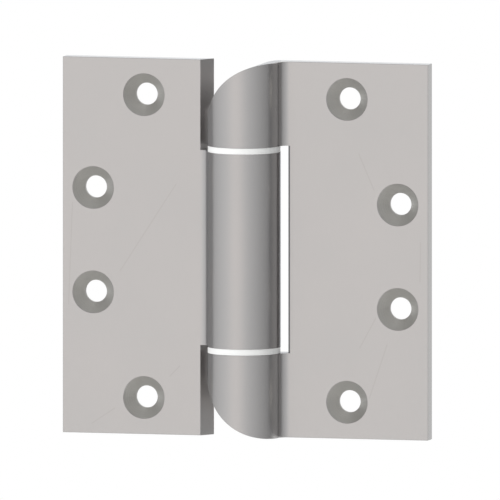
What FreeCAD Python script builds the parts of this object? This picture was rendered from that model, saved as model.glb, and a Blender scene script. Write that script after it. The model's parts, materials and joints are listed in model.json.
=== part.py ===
import FreeCAD, Part
import math
import os
import Sketcher

# Full mortise hinge, laid open flat: two cast leaves that turn on a concealed pin.
# Z runs up the pin, X across the open leaves and Y from their front faces to their backs.
# The origin is on the pin axis, half way up. Lengths are in millimetres, angles in degrees.

SIZES = {
    # Leaves
    "hinge_height": 114.3,
    "leaf_reach": 57.15,
    "leaf_thickness": 4.7625,
    "closed_gap": 3.175,
    "edge_round": 0.2,
    # Barrel and its knuckles
    "barrel_diameter": 22.225,
    "centre_knuckle_length": 59.3,
    "web_fillet": 3.0,
    "sweep_radius": 22.8,
    "sweep_overrun": 0.2,
    # Notches that the other leaf's knuckles turn in
    "door_notch_setback": 3.0,
    "door_notch_bevel": 3.05,
    "frame_notch_setback": 2.85,
    "frame_notch_bevel": 1.75,
    # Pin, bearings and their fits
    "pin_diameter": 12.7,
    "pin_engagement": 12.7,
    "pin_chamfer": 0.8,
    "pin_running_gap": 0.05,
    "centre_bore_gap": 0.4,
    "sleeve_wall": 1.5,
    "sleeve_length": 15.875,
    "flange_thickness": 1.85,
    "flange_inset": 0.1,
    "flange_chamfer": 0.1,
    "flange_running_gap": 0.05,
    # Countersunk screw holes
    "screw_hole_diameter": 6.75,
    "countersink_diameter": 13.0,
    "countersink_angle": 82.0,
    "outer_hole_inset": 11.1125,
    "near_column": 31.75,
    "far_column": 47.625,
    "inner_hole_spacing": 31.75,
    "inner_hole_offset": 1.5875,
}

# Places that follow from the sizes
HALF_HEIGHT = "(Sizes.hinge_height / 2)"
LEAF_FACE = "(Sizes.closed_gap / 2)"
LEAF_BACK = f"({LEAF_FACE} + Sizes.leaf_thickness)"
BARREL_RADIUS = "(Sizes.barrel_diameter / 2)"
CENTRE_END = "(Sizes.centre_knuckle_length / 2)"
NOTCH_END = f"({CENTRE_END} + Sizes.flange_thickness + Sizes.flange_running_gap)"
PIN_RADIUS = "(Sizes.pin_diameter / 2)"
PIN_END = f"({NOTCH_END} + Sizes.pin_engagement)"
SLEEVE_BORE = f"({PIN_RADIUS} + Sizes.pin_running_gap)"
SLEEVE_RADIUS = f"({SLEEVE_BORE} + Sizes.sleeve_wall)"
SLEEVE_END = f"({CENTRE_END} - Sizes.sleeve_length)"
FLANGE_RADIUS = f"({BARREL_RADIUS} - Sizes.flange_inset)"
SWEEP_SIDE = f"({BARREL_RADIUS} + Sizes.sweep_overrun)"
OUTER_ROW = f"({HALF_HEIGHT} - Sizes.outer_hole_inset)"
INNER_ROW = "(Sizes.inner_hole_spacing / 2)"
# Past every face of the barrel, for the open side of a cut
CLEAR = "Sizes.barrel_diameter"

START = 1
END = 2
CENTRE = 3
SKETCH_ORIGIN = -1
SAME_PLACE = 1e-4
HALF_TURN = 180
FULL_TURN = 360

# The leaves lie on either side of the pin
DOOR_SIDE = -1
FRAME_SIDE = 1

doc = FreeCAD.newDocument("FullMortiseHinge")
sheet = doc.addObject("Spreadsheet::Sheet", "Sizes")
for row, (alias, number) in enumerate(SIZES.items(), start=1):
    sheet.set(f"A{row}", alias)
    sheet.set(f"B{row}", str(number))
    sheet.setAlias(f"B{row}", alias)
doc.recompute()


def value(rule):
    """The number that a rule in the sheet's sizes gives."""
    return float(sheet.evalExpression(rule))


def new_body(label):
    """An empty body for one sub-part."""
    body = doc.addObject("PartDesign::Body", label)
    body.Label = label
    return body


def origin_feature(body, role):
    """One of the body's own origin planes or axes."""
    return next(item for item in body.Origin.OriginFeatures if item.Role == role)


def new_sketch(body, name, plane, height="0"):
    """A sketch on one of the body's origin planes, lifted along that plane's normal."""
    sketch = body.newObject("Sketcher::SketchObject", f"{body.Label}_{name}")
    sketch.AttachmentSupport = [(origin_feature(body, plane), "")]
    sketch.MapMode = "FlatFace"
    sketch.setExpression("AttachmentOffset.Base.z", height)
    return sketch


def bind(sketch, constraint, rule):
    """Add a sketch dimension that follows a rule."""
    index = sketch.addConstraint(constraint)
    sketch.setExpression(f"Constraints[{index}]", rule)


def place(sketch, geometry, point, corner):
    """Hold one point of a sketch at an (x rule, y rule) pair."""
    for kind, rule in zip(("DistanceX", "DistanceY"), corner):
        bind(sketch, Sketcher.Constraint(kind, SKETCH_ORIGIN, START, geometry, point, value(rule)), rule)


def draw_outline(sketch, corners, closed=True):
    """Straight lines through the corners, back to the first one if closed."""
    points = [FreeCAD.Vector(value(x), value(y), 0) for x, y in corners]
    ends = points[1:] + points[:1] if closed else points[1:]
    lines = [sketch.addGeometry(Part.LineSegment(a, b)) for a, b in zip(points, ends)]
    for line, corner in zip(lines, corners):
        place(sketch, line, START, corner)
    for line, following in zip(lines, lines[1:]):
        sketch.addConstraint(Sketcher.Constraint("Coincident", line, END, following, START))
    if closed:
        sketch.addConstraint(Sketcher.Constraint("Coincident", lines[-1], END, lines[0], START))
    else:
        place(sketch, lines[-1], END, corners[-1])
    return lines


def draw_circle(sketch, radius, middle=("0", "0")):
    """A circle whose radius and middle follow rules."""
    centre = FreeCAD.Vector(value(middle[0]), value(middle[1]), 0)
    circle = sketch.addGeometry(Part.Circle(centre, FreeCAD.Vector(0, 0, 1), value(radius)))
    bind(sketch, Sketcher.Constraint("Radius", circle, value(radius)), radius)
    place(sketch, circle, CENTRE, middle)


def pad(body, sketch, length, both_ways=True):
    """Thicken a sketch along its normal."""
    feature = body.newObject("PartDesign::Pad", f"{sketch.Name}_pad")
    feature.Profile = sketch
    feature.SideType = "Symmetric" if both_ways else "One side"
    feature.setExpression("Length", length)
    doc.recompute()
    return feature


def cut(body, sketch, length=None, both_ways=False, upwards=False):
    """Cut a sketch out of the body, right through if no length is given."""
    volume = body.Shape.Volume
    feature = body.newObject("PartDesign::Pocket", f"{sketch.Name}_cut")
    feature.Profile = sketch
    feature.SideType = "Symmetric" if both_ways else "One side"
    feature.Reversed = upwards
    if length is None:
        feature.Type = "ThroughAll"
    else:
        feature.setExpression("Length", length)
    doc.recompute()
    if not body.Shape.Volume < volume:
        raise RuntimeError(f"{feature.Name} removes nothing")
    return feature


def revolve(body, sketch):
    """Turn a sketch once round the body's Z axis."""
    feature = body.newObject("PartDesign::Revolution", f"{sketch.Name}_turned")
    feature.Profile = sketch
    feature.ReferenceAxis = (origin_feature(body, "Z_Axis"), [""])
    feature.Angle = FULL_TURN
    doc.recompute()
    return feature


def dress(body, kind, name, edges, setting, rule):
    """Round or chamfer the named edges and faces of the body's last feature."""
    base = body.Tip
    feature = body.newObject(f"PartDesign::{kind}", f"{body.Label}_{name}")
    feature.Base = (base, edges)
    feature.setExpression(setting, rule)
    doc.recompute()
    return feature


def upright_edges(shape, x, y):
    """Names of the straight edges that run along Z through a point of the XY plane."""
    def stands_there(edge):
        ends = [vertex.Point for vertex in edge.Vertexes]
        return len(ends) == 2 and all(abs(p.x - x) + abs(p.y - y) < SAME_PLACE for p in ends)
    return [f"Edge{number}" for number, edge in enumerate(shape.Edges, start=1) if stands_there(edge)]


def round_edges(shape, radius):
    """Names of the circular edges of one radius."""
    def is_that_circle(edge):
        return isinstance(edge.Curve, Part.Circle) and abs(edge.Curve.Radius - radius) < SAME_PLACE
    return [f"Edge{number}" for number, edge in enumerate(shape.Edges, start=1) if is_that_circle(edge)]


def level_faces(shape, z):
    """Names of the flat faces that lie at one height."""
    def lies_there(face):
        return abs(face.BoundBox.ZMin - z) + abs(face.BoundBox.ZMax - z) < SAME_PLACE
    return [f"Face{number}" for number, face in enumerate(shape.Faces, start=1) if lies_there(face)]


def add_leaf_blank(body, side):
    """Full-height casting blank: barrel, leaf plate, web fillets and softened outer edges."""
    barrel = new_sketch(body, "barrel", "XY_Plane")
    draw_circle(barrel, BARREL_RADIUS)
    pad(body, barrel, "Sizes.hinge_height")

    plate = new_sketch(body, "plate", "XY_Plane")
    tip = f"{side} * Sizes.leaf_reach"
    draw_outline(plate, [("0", LEAF_FACE), (tip, LEAF_FACE), (tip, LEAF_BACK), ("0", LEAF_BACK)])
    pad(body, plate, "Sizes.hinge_height")

    roots = []
    for level in (LEAF_FACE, LEAF_BACK):
        root_reach = side * (value(BARREL_RADIUS) ** 2 - value(level) ** 2) ** 0.5
        roots += upright_edges(body.Shape, root_reach, value(level))
    dress(body, "Fillet", "web", roots, "Radius", "Sizes.web_fillet")

    rim = level_faces(body.Shape, value(HALF_HEIGHT)) + level_faces(body.Shape, -value(HALF_HEIGHT))
    for level in (LEAF_FACE, LEAF_BACK):
        rim += upright_edges(body.Shape, value(tip), value(level))
    dress(body, "Fillet", "rim", rim, "Radius", "Sizes.edge_round")


def draw_notch(sketch, side, setback, bevel):
    """Plan of a notch: open over the barrel, with a wall that slants in towards the leaf's back."""
    front = f"{side} * ({BARREL_RADIUS} + {setback})"
    back = f"{side} * ({BARREL_RADIUS} + {setback} - {bevel})"
    open_side = f"{-side} * {CLEAR}"
    draw_outline(sketch, [
        (front, f"-{CLEAR}"),
        (front, LEAF_FACE),
        (back, LEAF_BACK),
        (back, CLEAR),
        (open_side, CLEAR),
        (open_side, f"-{CLEAR}"),
    ])


def cut_sweep(body, end):
    """Cut a knuckle's outer end to a quarter round that runs out at the barrel's far side."""
    sketch = new_sketch(body, "sweep_top" if end > 0 else "sweep_foot", "XZ_Plane")
    middle_x = f"(Sizes.sweep_radius - {SWEEP_SIDE})"
    middle_z = f"{end} * ({HALF_HEIGHT} - Sizes.sweep_radius)"
    level = f"{end} * {HALF_HEIGHT}"
    beyond = f"{end} * ({HALF_HEIGHT} + {CLEAR})"
    side = f"-{SWEEP_SIDE}"
    far_side = f"-({SWEEP_SIDE} + {CLEAR})"
    lines = draw_outline(sketch, [
        (side, middle_z),
        (far_side, middle_z),
        (far_side, beyond),
        (middle_x, beyond),
        (middle_x, level),
    ], closed=False)
    centre = FreeCAD.Vector(value(middle_x), value(middle_z), 0)
    circle = Part.Circle(centre, FreeCAD.Vector(0, 0, 1), value("Sizes.sweep_radius"))
    span = (math.pi / 2, math.pi) if end > 0 else (math.pi, 3 * math.pi / 2)
    arc = sketch.addGeometry(Part.ArcOfCircle(circle, *span))
    first, last = (START, END) if end > 0 else (END, START)
    sketch.addConstraint(Sketcher.Constraint("Coincident", arc, first, lines[-1], END))
    sketch.addConstraint(Sketcher.Constraint("Coincident", arc, last, lines[0], START))
    bind(sketch, Sketcher.Constraint("Radius", arc, value("Sizes.sweep_radius")), "Sizes.sweep_radius")
    cut(body, sketch, both_ways=True)


def drill_screw_holes(body, side):
    """Four countersunk holes; the inner pair sits off centre, the opposite way on the two leaves."""
    near = f"{side} * Sizes.near_column"
    far = f"{side} * Sizes.far_column"
    shift = f"{-side} * Sizes.inner_hole_offset"
    places = [
        (near, OUTER_ROW),
        (far, f"{INNER_ROW} + {shift}"),
        (far, f"-{INNER_ROW} + {shift}"),
        (near, f"-{OUTER_ROW}"),
    ]
    sketch = new_sketch(body, "screw_places", "XZ_Plane", f"-{LEAF_FACE}")
    for middle in places:
        draw_circle(sketch, "Sizes.screw_hole_diameter / 2", middle)
    doc.recompute()
    volume = body.Shape.Volume
    hole = body.newObject("PartDesign::Hole", f"{body.Label}_screw_holes")
    hole.Profile = sketch
    doc.recompute()
    hole.DepthType = "ThroughAll"
    hole.HoleCutType = "Countersink"
    hole.HoleCutCustomValues = True
    hole.setExpression("Diameter", "Sizes.screw_hole_diameter")
    hole.setExpression("HoleCutDiameter", "Sizes.countersink_diameter")
    hole.setExpression("HoleCutCountersinkAngle", "Sizes.countersink_angle")
    doc.recompute()
    if not body.Shape.Volume < volume:
        raise RuntimeError(f"{hole.Name} removes nothing")


def make_frame_leaf():
    """Leaf with the two swept outer knuckles, which grip the pin."""
    body = new_body("frame_leaf")
    add_leaf_blank(body, FRAME_SIDE)
    notch = new_sketch(body, "notch", "XY_Plane")
    draw_notch(notch, FRAME_SIDE, "Sizes.frame_notch_setback", "Sizes.frame_notch_bevel")
    cut(body, notch, f"2 * {NOTCH_END}", both_ways=True)
    for end in (1, -1):
        cut_sweep(body, end)
    # The pin goes in from below and stops in the upper knuckle.
    bore = new_sketch(body, "pin_bore", "XY_Plane", PIN_END)
    draw_circle(bore, PIN_RADIUS)
    cut(body, bore)
    drill_screw_holes(body, FRAME_SIDE)
    return body


def make_door_leaf():
    """Leaf with the long centre knuckle, bored for the two bearings."""
    body = new_body("door_leaf")
    add_leaf_blank(body, DOOR_SIDE)
    for end in (1, -1):
        where = "top" if end > 0 else "foot"
        notch = new_sketch(body, f"notch_{where}", "XY_Plane", f"{end} * {CENTRE_END}")
        draw_notch(notch, DOOR_SIDE, "Sizes.door_notch_setback", "Sizes.door_notch_bevel")
        cut(body, notch, upwards=end > 0)
        seat = new_sketch(body, f"bearing_seat_{where}", "XY_Plane", f"{end} * {SLEEVE_END}")
        draw_circle(seat, SLEEVE_RADIUS)
        cut(body, seat, upwards=end > 0)
    bore = new_sketch(body, "bore", "XY_Plane")
    draw_circle(bore, f"{PIN_RADIUS} + Sizes.centre_bore_gap")
    cut(body, bore, both_ways=True)
    drill_screw_holes(body, DOOR_SIDE)
    return body


def make_hinge_pin():
    """Straight pin with a chamfer at each end."""
    body = new_body("hinge_pin")
    round_bar = new_sketch(body, "bar", "XY_Plane")
    draw_circle(round_bar, PIN_RADIUS)
    pad(body, round_bar, f"2 * {PIN_END}")
    ends = level_faces(body.Shape, value(PIN_END)) + level_faces(body.Shape, -value(PIN_END))
    dress(body, "Chamfer", "ends", ends, "Size", "Sizes.pin_chamfer")
    return body


def make_pin_plug():
    """Plug that closes the bore below the pin, dressed flush with the lower knuckle's sweep."""
    body = new_body("pin_plug")
    round_bar = new_sketch(body, "bar", "XY_Plane", f"-{HALF_HEIGHT}")
    draw_circle(round_bar, PIN_RADIUS)
    pad(body, round_bar, f"{HALF_HEIGHT} - {PIN_END}", both_ways=False)
    cut_sweep(body, -1)
    return body


def make_bearing(label, placement):
    """Flanged bush: the sleeve sits in the centre knuckle, the flange between two knuckles."""
    body = new_body(label)
    section = new_sketch(body, "section", "XZ_Plane")
    flange_end = f"{CENTRE_END} + Sizes.flange_thickness"
    draw_outline(section, [
        (SLEEVE_BORE, SLEEVE_END),
        (SLEEVE_RADIUS, SLEEVE_END),
        (SLEEVE_RADIUS, CENTRE_END),
        (FLANGE_RADIUS, CENTRE_END),
        (FLANGE_RADIUS, flange_end),
        (SLEEVE_BORE, flange_end),
    ])
    revolve(body, section)
    rim = round_edges(body.Shape, value(FLANGE_RADIUS))
    dress(body, "Chamfer", "rim", rim, "Size", "Sizes.flange_chamfer")
    body.Placement = placement
    return body


upright = FreeCAD.Placement()
turned_over = FreeCAD.Placement(FreeCAD.Vector(), FreeCAD.Rotation(FreeCAD.Vector(1, 0, 0), HALF_TURN))
sub_parts = [
    make_frame_leaf(),
    make_door_leaf(),
    make_hinge_pin(),
    make_pin_plug(),
    make_bearing("upper_bearing", upright),
    make_bearing("lower_bearing", turned_over),
]
doc.recompute()

failed = [item.Name for item in doc.Objects if {"Invalid", "Error"} & set(item.State)]
if failed:
    raise RuntimeError(f"these objects failed: {failed}")
for sub_part in sub_parts:
    if sub_part.Shape.isNull() or not sub_part.Shape.isValid():
        raise RuntimeError(f"{sub_part.Label} has no valid shape")

os.makedirs("parts", exist_ok=True)
for sub_part in sub_parts:
    sub_part.Shape.exportStep(f"parts/{sub_part.Label}.step")
    box = sub_part.Shape.BoundBox
    print(f"{sub_part.Label}: {sub_part.Shape.Volume:.1f} mm3, X {box.XMin:.3f} to {box.XMax:.3f}, "
          f"Y {box.YMin:.3f} to {box.YMax:.3f}, Z {box.ZMin:.3f} to {box.ZMax:.3f}")
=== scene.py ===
# A full mortise hinge: satin metal leaves, a ground steel pin and white moulded bearings.
import json
import math

import bmesh
import bpy
from mathutils import Matrix, Vector


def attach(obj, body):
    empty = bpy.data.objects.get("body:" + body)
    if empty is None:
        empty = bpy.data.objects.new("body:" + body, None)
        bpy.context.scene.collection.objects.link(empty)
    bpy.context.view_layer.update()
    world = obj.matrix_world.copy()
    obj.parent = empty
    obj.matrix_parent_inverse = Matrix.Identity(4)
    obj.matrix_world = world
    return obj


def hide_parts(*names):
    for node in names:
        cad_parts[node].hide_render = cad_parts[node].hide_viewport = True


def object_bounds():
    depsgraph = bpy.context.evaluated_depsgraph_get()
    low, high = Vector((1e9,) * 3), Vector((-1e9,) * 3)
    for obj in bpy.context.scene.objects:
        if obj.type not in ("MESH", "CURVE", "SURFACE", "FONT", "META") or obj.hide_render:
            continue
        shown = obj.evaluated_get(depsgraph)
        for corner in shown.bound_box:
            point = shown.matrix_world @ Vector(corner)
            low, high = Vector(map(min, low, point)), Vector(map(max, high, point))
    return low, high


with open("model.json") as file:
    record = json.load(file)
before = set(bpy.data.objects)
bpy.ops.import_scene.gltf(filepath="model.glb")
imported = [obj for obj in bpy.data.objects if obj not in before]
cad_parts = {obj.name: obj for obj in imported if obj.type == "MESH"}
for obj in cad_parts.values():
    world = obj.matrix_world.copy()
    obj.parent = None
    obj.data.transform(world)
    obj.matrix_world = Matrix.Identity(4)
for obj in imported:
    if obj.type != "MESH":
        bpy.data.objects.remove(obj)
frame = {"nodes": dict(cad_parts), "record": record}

CAD_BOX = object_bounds()
NODES = frame["nodes"]

# Lengths are in metres, except where a heading or a name says millimetres
MM = 0.001
PER_MM = 1 / MM
FULL_TURN = 2 * math.pi

# Factors that leave out a place's height or its depth, and the middle of a noise from 0 to 1
NO_HEIGHT = (1, 1, 0)
NO_DEPTH = (1, 0, 1)
NOISE_MIDDLE = 0.5

# The photograph's view: a square frame and a long lens, so the rays are taken as parallel
VIEW_AZIMUTH = 14.5
VIEW_ELEVATION = 5.2
PHOTO_SIDE = 500
PIXELS_PER_MM = 3.302
PIN_MIDDLE_PIXEL = (244.1, 248.95)
CAMERA_DISTANCE = 0.6

# The light tent round the hinge: cloth that is brightest in front on the left and darkest behind on
# the right, with a glow in front. It has an upright opening at its back, a brighter strip in that,
# and a low card behind on the left. Directions are (azimuth, elevation) in degrees, upright edges
# are cosines of angles from the middle, and the card's top is a sine of elevation
TENT_MEAN = 0.53
TENT_FALL = 0.325
TENT_BRIGHT = (-25, -10)
TENT_GLOW = 0.16
TENT_GLOW_MIDDLE = (-10, -5)
TENT_GLOW_TIGHTNESS = 9
TENT_WARM = (1.02, 0.998, 0.982, 1)
TENT_COOL = (0.985, 1.0, 1.01, 1)
TENT_OPENING_MIDDLE = (160, 0)
TENT_OPENING_EDGES = (0.64, 0.83)
TENT_STRIP = 0.6
TENT_STRIP_MIDDLE = (-168, 0)
TENT_STRIP_EDGES = (0.966, 0.995)
TENT_CARD = 0.9
TENT_CARD_MIDDLE = (-120, 0)
TENT_CARD_EDGES = (0.94, 0.995)
TENT_CARD_TOP = (0.0, 0.35)

# The lamps: the key in front on the left, and a weaker one behind. Each has its direction in
# degrees and its power in watts
LAMPS = {
    "key_lamp": ((-28, 36), 9.5),
    "back_lamp": ((170, 35), 6),
}
LAMP_DISTANCE = 1.4
LAMP_SIZE = 0.6

# The floor, a pale disc that fades out into the white background
FLOOR_HEIGHT = -0.24
FLOOR_RADIUS = 0.95
FLOOR_FADE = (0.5, 0.93)
FLOOR_CORNERS = 96
FLOOR_COLOUR = (0.82, 0.82, 0.81, 1)
WHITE = (1, 1, 1, 1)

# The leaves' metal. From here to the plastic, lengths are in millimetres, and noise scales per millimetre
NOTCH_REACH = 16.5
FRAME_LEAF_POINTS = [vertex.co * PER_MM for vertex in NODES["frame_leaf"].data.vertices]
PLATE_DEPTHS = [point.y for point in FRAME_LEAF_POINTS if point.x > NOTCH_REACH]
LEAF_FRONT = min(PLATE_DEPTHS)
LEAF_BACK = max(PLATE_DEPTHS)
BARREL_RADIUS = -CAD_BOX[0].y * PER_MM
LEAF_END = CAD_BOX[1].z * PER_MM
LEAF_WARM = (0.59, 0.567, 0.5585, 1)
LEAF_COOL = (0.56, 0.547, 0.5415, 1)
LEAF_CLOUD_SCALE = 1 / 24
GLANCING_TINT = (0.51, 0.53, 0.55, 1)
SATIN_ROUGHNESS = 0.29
SATIN_LINES = (7.0, 7.0, 0.25)
SATIN_LINE_TONE = (0.97, 0.97, 0.97, 1)
SATIN_LINE_DEPTH = 0.0004
GRAIN_SCALE = 5.0
GRAIN_DEPTH = 0.0003
GRAIN_ROUGHNESS = 0.04

# Regions of the leaves with a finish of their own: some polished, some left rough by a cutter. The barrel
# and the notches also carry painted shade in their colour, and the edges partly a painted highlight
REGION_ROUGHNESS = {"barrel": 0.25, "edges": 0.2, "notches": 0.42, "countersinks": 0.5}
# Painted shade: the barrel's colour is a little darker than the plates', and the notch faces beside the
# barrel darker still
REGION_PAINTED_SHADE = {"barrel": (0.95, 0.95, 0.95, 1), "notches": (0.85, 0.85, 0.85, 1)}
# The edge faces' lighter metal is partly their polish and partly a painted highlight
EDGE_POLISH_AND_PAINTED_HIGHLIGHT = (0.72, 0.69, 0.665, 1)
CUT_METAL = (0.577, 0.563, 0.538, 1)
REGION_EDGE = 0.15
TURNED_AWAY = (0.3, 0.6)
COUNTERSINK_RADIUS = 6.5
RING_PITCH = 0.55
RING_DEPTH = 0.012

# Fine handling marks on the leaves' front faces, as (x, z) from end to end
HAIRLINES = [
    ((35.5, 29.5), (40.2, 18.7)),
    ((40.8, -20.2), (35.8, -29.4)),
    ((44.3, -28.3), (38.7, -44.9)),
    ((54.8, 3.0), (54.6, -9.0)),
    ((-21.7, 19.1), (-39.2, -7.7)),
    ((-54.1, 12.8), (-55.3, -18.0)),
    ((-20.5, -36.2), (-23.6, -39.3)),
    ((-40.8, -49.4), (-48.0, -54.2)),
]
HAIRLINE_HALF_WIDTH = 0.28
HAIRLINE_COLOUR = (0.525, 0.505, 0.495, 1)

# Ground steel of the pin and its plug, with lines that run round them
STEEL_DARK = (0.44, 0.44, 0.45, 1)
STEEL_LIGHT = (0.52, 0.52, 0.52, 1)
STEEL_CLOUD_SCALE = 0.25
GRINDING_LINES = (0.3, 0.3, 9.0)
GRINDING_DEPTH = 0.002
STEEL_ROUGHNESS = 0.2
GRINDING_ROUGHNESS = 0.14

# White moulded plastic of the bearings
PLASTIC_SHADE = (0.88, 0.88, 0.87, 1)
PLASTIC_LIGHT = (0.92, 0.92, 0.91, 1)
PLASTIC_CLOUD_SCALE = 0.3
PLASTIC_SKIN_SCALE = 4.0
PLASTIC_SKIN_DEPTH = 0.004
PLASTIC_ROUGHNESS = 0.36
PLASTIC_SKIN_ROUGHNESS = 0.12

# The bearings' shape: flanged bushes, one in each end of the centre knuckle. Lengths are in metres
BUSH_NODES = ("upper_bearing", "lower_bearing")
BUSH_BODY = "door_side"
BUSH_CORNERS = 160
BUSH_EDGE = 0.06 * MM
BUSH_EDGE_STEPS = 3
BUSH_EDGE_ANGLE = math.radians(30)
SAME_PLACE = 0.02 * MM


class Signal:
    """A socket of a node tree, for use in Python expressions."""

    def __init__(self, tree, socket=None):
        self.tree = tree
        self.socket = socket

    def node(self, kind, settings=None, sockets=None):
        """Adds any node: its settings first, then its sockets' values or links.

        Gives its first live output."""
        made = self.tree.nodes.new(kind)
        for name, value in (settings or {}).items():
            setattr(made, name, value)
        for name, value in (sockets or {}).items():
            self.fill(made, name, value)
        live = [socket for socket in made.outputs if socket.enabled]
        return Signal(self.tree, live[0] if live else None)

    def fill(self, made, name, value):
        """Links a signal to an input, or sets a plain value on it."""
        if isinstance(name, int):
            target = made.inputs[name]
        else:
            live = [socket for socket in made.inputs if socket.enabled]
            target = next(socket for socket in live if socket.name == name)
        if isinstance(value, Signal):
            self.tree.links.new(value.socket, target)
        else:
            target.default_value = value

    def output(self, name):
        """Another output of this signal's node."""
        return Signal(self.tree, self.socket.node.outputs[name])

    def axis(self, name):
        """One of this vector's three numbers."""
        return self.node("ShaderNodeSeparateXYZ", None, {0: self}).output(name)

    def maths(self, operation, *values):
        """A Math node on numbers."""
        return self.node("ShaderNodeMath", {"operation": operation}, dict(enumerate(values)))

    def vector(self, operation, *values):
        """A Vector Math node on vectors or colours."""
        return self.node("ShaderNodeVectorMath", {"operation": operation}, dict(enumerate(values)))

    def __add__(self, other):
        return self.maths("ADD", self, other)

    def __radd__(self, other):
        return self.maths("ADD", other, self)

    def __sub__(self, other):
        return self.maths("SUBTRACT", self, other)

    def __rsub__(self, other):
        return self.maths("SUBTRACT", other, self)

    def __mul__(self, other):
        return self.maths("MULTIPLY", self, other)

    def __rmul__(self, other):
        return self.maths("MULTIPLY", other, self)

    def __pow__(self, other):
        return self.maths("POWER", self, other)

    def __rpow__(self, other):
        return self.maths("POWER", other, self)

    def __neg__(self):
        return self.maths("MULTIPLY", self, -1)

    def step(self, start, end):
        """0 before start, 1 after end, and smooth between them."""
        return self.node(
            "ShaderNodeMapRange",
            {"interpolation_type": "SMOOTHSTEP"},
            {"Value": self, "From Min": start, "From Max": end},
        )

    def scaled(self, amount):
        """This vector, times a number."""
        return self.node(
            "ShaderNodeVectorMath", {"operation": "SCALE"}, {"Vector": self, "Scale": amount}
        )

    def noise(self, scale):
        """Soft noise from 0 to 1, with this vector as its place."""
        return self.node("ShaderNodeTexNoise", None, {"Vector": self, "Scale": scale})

    def lines(self, scales):
        """Noise drawn out into lines, with this vector as its place."""
        return self.vector("MULTIPLY", self, scales).noise(1.0)

    def blend(self, first, second):
        """A colour between two, by this value."""
        return self.node(
            "ShaderNodeMix", {"data_type": "RGBA"}, {"Factor": self, "A": first, "B": second}
        )


def direction(azimuth, elevation):
    """Unit vector for angles in degrees: azimuth from the front (-Y) round to the right (+X)."""
    turn = math.radians(azimuth)
    rise = math.radians(elevation)
    level = math.cos(rise)
    return Vector((level * math.sin(turn), -level * math.cos(turn), math.sin(rise)))


def show(thing):
    """Puts an object in the scene."""
    bpy.context.scene.collection.objects.link(thing)


def place_camera():
    """The photograph's camera: it looks at the middle of the photograph's frame."""
    back = direction(VIEW_AZIMUTH, VIEW_ELEVATION)
    right = Vector((0, 0, 1)).cross(back).normalized()
    up = back.cross(right)
    across = (PHOTO_SIDE / 2 - PIN_MIDDLE_PIXEL[0]) / PIXELS_PER_MM * MM
    down = (PHOTO_SIDE / 2 - PIN_MIDDLE_PIXEL[1]) / PIXELS_PER_MM * MM
    lens = bpy.data.cameras.new("photo_camera")
    lens.type = "ORTHO"
    lens.ortho_scale = PHOTO_SIDE / PIXELS_PER_MM * MM
    camera = bpy.data.objects.new("photo_camera", lens)
    place = Matrix((right, up, back)).transposed().to_4x4()
    place.translation = right * across - up * down + back * CAMERA_DISTANCE
    camera.matrix_world = place
    show(camera)
    bpy.context.scene.camera = camera


def hang_tent():
    """The world: graded tent cloth for light and reflections, and the plain white background.

    The camera sees the background, and metal sees it through the opening at the tent's back."""
    world = bpy.data.worlds.new("light_tent")
    world.use_nodes = True
    world.node_tree.nodes.clear()
    bpy.context.scene.world = world
    start = Signal(world.node_tree)
    towards = start.node("ShaderNodeTexCoord").output("Generated")

    def along(way, angles):
        """The cosine of the angle between a unit vector and a direction."""
        return start.vector("DOT_PRODUCT", way, direction(*angles))

    glow = start.maths("MAXIMUM", along(towards, TENT_GLOW_MIDDLE), 0) ** TENT_GLOW_TIGHTNESS
    level = start.vector("NORMALIZE", start.vector("MULTIPLY", towards, NO_HEIGHT))
    opening = along(level, TENT_OPENING_MIDDLE).step(*TENT_OPENING_EDGES)
    strip = along(level, TENT_STRIP_MIDDLE).step(*TENT_STRIP_EDGES)
    low = 1 - towards.axis("Z").step(*TENT_CARD_TOP)
    card = along(level, TENT_CARD_MIDDLE).step(*TENT_CARD_EDGES) * low
    cloth = TENT_MEAN + TENT_FALL * along(towards, TENT_BRIGHT)
    cloth = cloth + TENT_GLOW * glow + TENT_CARD * card
    ray = start.node("ShaderNodeLightPath")
    seen = ray.output("Is Camera Ray") + ray.output("Is Transmission Ray")
    mirrored = ray.output("Is Glossy Ray")
    backdrop = seen + mirrored * opening
    light = backdrop + (1 - backdrop) * cloth + TENT_STRIP * mirrored * strip
    colour = backdrop.blend(glow.blend(TENT_COOL, TENT_WARM), WHITE)
    shade = start.node("ShaderNodeBackground", None, {"Color": colour, "Strength": light})
    start.node("ShaderNodeOutputWorld", None, {"Surface": shade})


def hang_lamp(name, angles, power):
    """A soft lamp, aimed at the middle of the hinge. The metal mirrors the tent, not the lamp."""
    lamp = bpy.data.lights.new(name, "AREA")
    lamp.shape = "DISK"
    lamp.size = LAMP_SIZE
    lamp.energy = power
    holder = bpy.data.objects.new(name, lamp)
    back = direction(*angles)
    holder.location = back * LAMP_DISTANCE
    holder.rotation_mode = "QUATERNION"
    holder.rotation_quaternion = (-back).to_track_quat("-Z", "Y")
    holder.visible_glossy = False
    show(holder)


def new_material(name):
    """An empty node material and the signal to start from."""
    material = bpy.data.materials.new(name)
    material.use_nodes = True
    material.node_tree.nodes.clear()
    return material, Signal(material.node_tree)


def floor_paint():
    """Pale matt paint that fades out towards the rim and can be seen through from below."""
    material, start = new_material("pale_floor")
    place = start.node("ShaderNodeTexCoord").output("Object")
    flat = start.vector("MULTIPLY", place, NO_HEIGHT)
    fade = start.vector("LENGTH", flat).step(*FLOOR_FADE)
    under = start.node("ShaderNodeNewGeometry").output("Backfacing")
    gone = start.maths("MAXIMUM", fade, under)
    paint = start.node("ShaderNodeBsdfDiffuse", None, {"Color": FLOOR_COLOUR})
    clear = start.node("ShaderNodeBsdfTransparent")
    shade = start.node("ShaderNodeMixShader", None, {0: gone, 1: paint, 2: clear})
    start.node("ShaderNodeOutputMaterial", None, {"Surface": shade})
    return material


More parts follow.
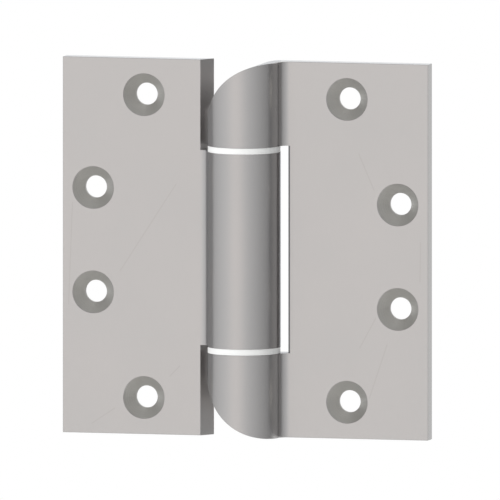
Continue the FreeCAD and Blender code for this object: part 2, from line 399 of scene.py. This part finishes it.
def lay_floor():
    """The pale floor, well below the hinge."""
    sheet = bmesh.new()
    lift = Matrix.Translation((0, 0, FLOOR_HEIGHT))
    bmesh.ops.create_circle(
        sheet, cap_ends=True, radius=FLOOR_RADIUS, segments=FLOOR_CORNERS, matrix=lift
    )
    mesh = bpy.data.meshes.new("floor")
    sheet.to_mesh(mesh)
    sheet.free()
    mesh.materials.append(floor_paint())
    floor = bpy.data.objects.new("floor", mesh)
    show(floor)


def object_place(start):
    """The place on a piece, in millimetres."""
    return start.node("ShaderNodeTexCoord").output("Object").scaled(PER_MM)


def finish_shader(material, start, sockets, height):
    """One principled shader, with its normal from a height in millimetres."""
    bump = start.node("ShaderNodeBump", None, {"Strength": 1.0, "Distance": MM, "Height": height})
    shade = start.node("ShaderNodeBsdfPrincipled", None, {**sockets, "Normal": bump})
    start.node("ShaderNodeOutputMaterial", None, {"Surface": shade})
    return material


def screw_centres():
    """The (x, z) centres of the screw holes in millimetres, from the record's screw patterns."""
    centres = []
    for mount in frame["record"]["mounts"]:
        if mount["kind"] != "bolt_pattern":
            continue
        x, _, z = mount["pos_m"]
        half = mount["dims"]["spacing_y_mm"] / 2
        centres += [(x * PER_MM, z * PER_MM + side * half) for side in (-1, 1)]
    return centres


def from_screw_axis(place):
    """Distance in millimetres from the nearest screw hole's axis."""
    flat = place.vector("MULTIPLY", place, NO_DEPTH)
    distances = [place.vector("DISTANCE", flat, (x, 0, z)) for x, z in screw_centres()]
    nearest = distances[0]
    for distance in distances[1:]:
        nearest = place.maths("MINIMUM", nearest, distance)
    return nearest


def beyond(distance, limit):
    """0 up to a limit in millimetres, and 1 from a soft edge past it."""
    return distance.step(limit, limit + REGION_EDGE)


def inside_leaf(place):
    """1 between the leaves' front and back faces, 0 on them."""
    depth = place.axis("Y")
    behind_front = beyond(depth, LEAF_FRONT + REGION_EDGE)
    before_back = 1 - beyond(depth, LEAF_BACK - 2 * REGION_EDGE)
    return behind_front * before_back


def turned_away(place, axis):
    """1 on faces that look across one of the piece's own axes, 0 on those that look along it."""
    facing = place.node("ShaderNodeTexCoord").output("Normal")
    return 1 - place.maths("ABSOLUTE", facing.axis(axis)).step(*TURNED_AWAY)


def leaf_regions(place, from_axis):
    """For each region with a finish of its own, 1 inside it and 0 outside."""
    from_pin = place.vector("LENGTH", place.vector("MULTIPLY", place, NO_HEIGHT))
    barrel = 1 - beyond(from_pin, BARREL_RADIUS + REGION_EDGE)
    plate = beyond(from_pin, NOTCH_REACH)
    from_middle = place.maths("ABSOLUTE", place.axis("Z"))
    ends = beyond(from_middle, LEAF_END - 2 * REGION_EDGE) * (1 - barrel)
    drilled = 1 - beyond(from_axis, COUNTERSINK_RADIUS)
    inside = inside_leaf(place)
    return {
        "barrel": barrel,
        "edges": place.maths("MAXIMUM", plate, ends) * (1 - drilled) * turned_away(place, "Y"),
        "notches": inside * (1 - plate) * (1 - barrel) * turned_away(place, "Z"),
        "countersinks": inside * drilled,
    }


def hairline(place, ends):
    """1 along a straight mark on a front face, 0 away from it."""
    first, last = (Vector((x, LEAF_FRONT, z)) for x, z in ends)
    run = last - first
    way = run.normalized()
    offset = place.vector("SUBTRACT", place, first)
    reached = place.maths("MINIMUM", place.vector("DOT_PRODUCT", offset, way), run.length)
    along = place.maths("MAXIMUM", reached, 0)
    nearest = place.node("ShaderNodeVectorMath", {"operation": "SCALE"}, {0: way, "Scale": along})
    return 1 - place.vector("DISTANCE", offset, nearest).step(0, HAIRLINE_HALF_WIDTH)


def leaf_tone(place, lines, regions):
    """The leaves' colour: faint clouds and lines, painted shade on the barrel and notches, lighter edges
    that are partly polish and partly painted highlight, the countersinks' cut metal, and the hairlines.
    """
    tone = place.noise(LEAF_CLOUD_SCALE).blend(LEAF_COOL, LEAF_WARM)
    tone = place.vector("MULTIPLY", tone, lines.blend(SATIN_LINE_TONE, WHITE))
    # Painted shade on the barrel and the notches
    for name, painted_shade in REGION_PAINTED_SHADE.items():
        tone = place.vector("MULTIPLY", tone, regions[name].blend(WHITE, painted_shade))
    # Lighter edges: partly polish, partly painted highlight
    tone = regions["edges"].blend(tone, EDGE_POLISH_AND_PAINTED_HIGHLIGHT)
    tone = regions["countersinks"].blend(tone, CUT_METAL)
    for ends in HAIRLINES:
        tone = hairline(place, ends).blend(tone, HAIRLINE_COLOUR)
    return tone


def satin_leaf():
    """Satin metal with fine lines up the hinge, cutter rings in the countersinks and hairlines."""
    material, start = new_material("satin_leaf")
    place = object_place(start)
    lines = place.lines(SATIN_LINES)
    grain = place.noise(GRAIN_SCALE)
    from_axis = from_screw_axis(place)
    regions = leaf_regions(place, from_axis)
    rough = SATIN_ROUGHNESS + GRAIN_ROUGHNESS * (grain - NOISE_MIDDLE)
    for name, roughness in REGION_ROUGHNESS.items():
        rough = rough + (roughness - SATIN_ROUGHNESS) * regions[name]
    rings = regions["countersinks"] * start.maths("SINE", from_axis * (FULL_TURN / RING_PITCH))
    height = SATIN_LINE_DEPTH * lines + GRAIN_DEPTH * grain + RING_DEPTH * rings
    sockets = {
        "Base Color": leaf_tone(place, lines, regions),
        "Metallic": 1.0,
        "Roughness": rough,
        "Specular Tint": GLANCING_TINT,
    }
    return finish_shader(material, start, sockets, height)


def ground_steel():
    """Steel ground on its round: lines about the pin, brighter and duller in bands."""
    material, start = new_material("ground_steel")
    place = object_place(start)
    lines = place.lines(GRINDING_LINES)
    tone = place.noise(STEEL_CLOUD_SCALE).blend(STEEL_DARK, STEEL_LIGHT)
    rough = STEEL_ROUGHNESS + GRINDING_ROUGHNESS * lines
    sockets = {"Base Color": tone, "Metallic": 1.0, "Roughness": rough}
    return finish_shader(material, start, sockets, GRINDING_DEPTH * lines)


def moulded_plastic():
    """White moulded plastic with a faintly clouded tone and a fine skin."""
    material, start = new_material("moulded_plastic")
    place = object_place(start)
    skin = place.noise(PLASTIC_SKIN_SCALE)
    tone = place.noise(PLASTIC_CLOUD_SCALE).blend(PLASTIC_SHADE, PLASTIC_LIGHT)
    rough = PLASTIC_ROUGHNESS + PLASTIC_SKIN_ROUGHNESS * skin
    sockets = {"Base Color": tone, "Roughness": rough}
    return finish_shader(material, start, sockets, PLASTIC_SKIN_DEPTH * skin)


def finish_nodes(material, *names):
    """Gives CAD nodes their finish."""
    for name in names:
        for slot in NODES[name].material_slots:
            slot.material = material


def bush_sizes():
    """The upper bush's radii and heights in metres, read from its CAD node."""
    points = [(vertex.co.xy.length, vertex.co.z) for vertex in NODES[BUSH_NODES[0]].data.vertices]
    radii, heights = zip(*points)
    sleeve_end = min(heights)
    sleeve_radius = max(radius for radius, height in points if height < sleeve_end + SAME_PLACE)
    flange_seat = min(height for radius, height in points if radius > sleeve_radius + SAME_PLACE)
    return {
        "Bore Radius": min(radii),
        "Sleeve Radius": sleeve_radius,
        "Flange Radius": max(radii),
        "Sleeve End": sleeve_end,
        "Flange Seat": flange_seat,
        "Flange End": max(heights),
    }


def bush_section(start, size):
    """The bush's half section, as a closed curve of six corners set out from the bore's edge."""
    corners = [
        ("Bore Radius", "Sleeve End"),
        ("Bore Radius", "Flange End"),
        ("Flange Radius", "Flange End"),
        ("Flange Radius", "Flange Seat"),
        ("Sleeve Radius", "Flange Seat"),
        ("Sleeve Radius", "Sleeve End"),
    ]
    switch = start.tree.nodes.new("GeometryNodeIndexSwitch")
    switch.data_type = "VECTOR"
    for _ in corners[len(switch.index_switch_items):]:
        switch.index_switch_items.new()
    start.fill(switch, "Index", start.node("GeometryNodeInputIndex"))
    for number, (radius, height) in enumerate(corners):
        out = size[radius] - size["Bore Radius"]
        corner = start.node("ShaderNodeCombineXYZ", None, {"X": out, "Y": -size[height]})
        start.fill(switch, str(number), corner)
    ring = start.node("GeometryNodeCurvePrimitiveCircle", None, {"Resolution": len(corners)})
    place = Signal(start.tree, switch.outputs[0])
    return start.node("GeometryNodeSetPosition", None, {"Geometry": ring, "Position": place})


def bush_tree(sizes, material):
    """Geometry nodes: a half section turned about the pin, and set in both ends of the knuckle."""
    tree = bpy.data.node_groups.new("flanged_bushes", "GeometryNodeTree")
    for name in sizes:
        tree.interface.new_socket(name, in_out="INPUT", socket_type="NodeSocketFloat")
    tree.interface.new_socket("Bushes", in_out="OUTPUT", socket_type="NodeSocketGeometry")
    start = Signal(tree)
    given = start.node("NodeGroupInput")
    size = {name: given.output(name) for name in sizes}
    path = start.node(
        "GeometryNodeCurvePrimitiveCircle",
        None,
        {"Resolution": BUSH_CORNERS, "Radius": size["Bore Radius"]},
    )
    level = start.node("GeometryNodeSetCurveNormal", {"mode": "Z_UP"}, {"Curve": path})
    section = bush_section(start, size)
    turned = start.node("GeometryNodeCurveToMesh", None, {"Curve": level, "Profile Curve": section})
    smooth = start.node("GeometryNodeSetShadeSmooth", None, {"Geometry": turned})
    ends = start.node("GeometryNodeMeshLine", None, {"Count": len(BUSH_NODES), "Offset": (0, 0, 0)})
    half_turns = start.node("GeometryNodeInputIndex") * math.pi
    angles = start.node("ShaderNodeCombineXYZ", None, {"X": half_turns})
    turn = start.node("FunctionNodeEulerToRotation", None, {"Euler": angles})
    pair = start.node(
        "GeometryNodeInstanceOnPoints", None, {"Points": ends, "Instance": smooth, "Rotation": turn}
    )
    real = start.node("GeometryNodeRealizeInstances", None, {"Geometry": pair})
    done = start.node("GeometryNodeSetMaterial", None, {"Geometry": real, "Material": material})
    start.node("NodeGroupOutput", None, {"Bushes": done})
    return tree


def turn_bushes(material):
    """Both bearing bushes as one mesh, with rounded edges."""
    sizes = bush_sizes()
    tree = bush_tree(sizes, material)
    bushes = bpy.data.objects.new("bearing_bushes", bpy.data.meshes.new("bearing_bushes"))
    show(bushes)
    maker = bushes.modifiers.new("flanged_bushes", "NODES")
    maker.node_group = tree
    for item in tree.interface.items_tree:
        if item.in_out == "INPUT":
            maker[item.identifier] = sizes[item.name]
    graph = bpy.context.evaluated_depsgraph_get()
    made = bpy.data.meshes.new_from_object(bushes.evaluated_get(graph))
    made.materials.pop(index=0)  # the empty slot that Set Material leaves in front
    bushes.modifiers.remove(maker)
    bushes.data = made
    rounding = bushes.modifiers.new("rounded_edges", "BEVEL")
    rounding.width = BUSH_EDGE
    rounding.segments = BUSH_EDGE_STEPS
    rounding.limit_method = "ANGLE"
    rounding.angle_limit = BUSH_EDGE_ANGLE
    rounding.harden_normals = True
    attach(bushes, BUSH_BODY)
    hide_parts(*BUSH_NODES)


bpy.context.scene.view_settings.view_transform = "Standard"
place_camera()
hang_tent()
for name, (angles, power) in LAMPS.items():
    hang_lamp(name, angles, power)
lay_floor()
finish_nodes(satin_leaf(), "frame_leaf", "door_leaf")
finish_nodes(ground_steel(), "hinge_pin", "pin_plug")
turn_bushes(moulded_plastic())
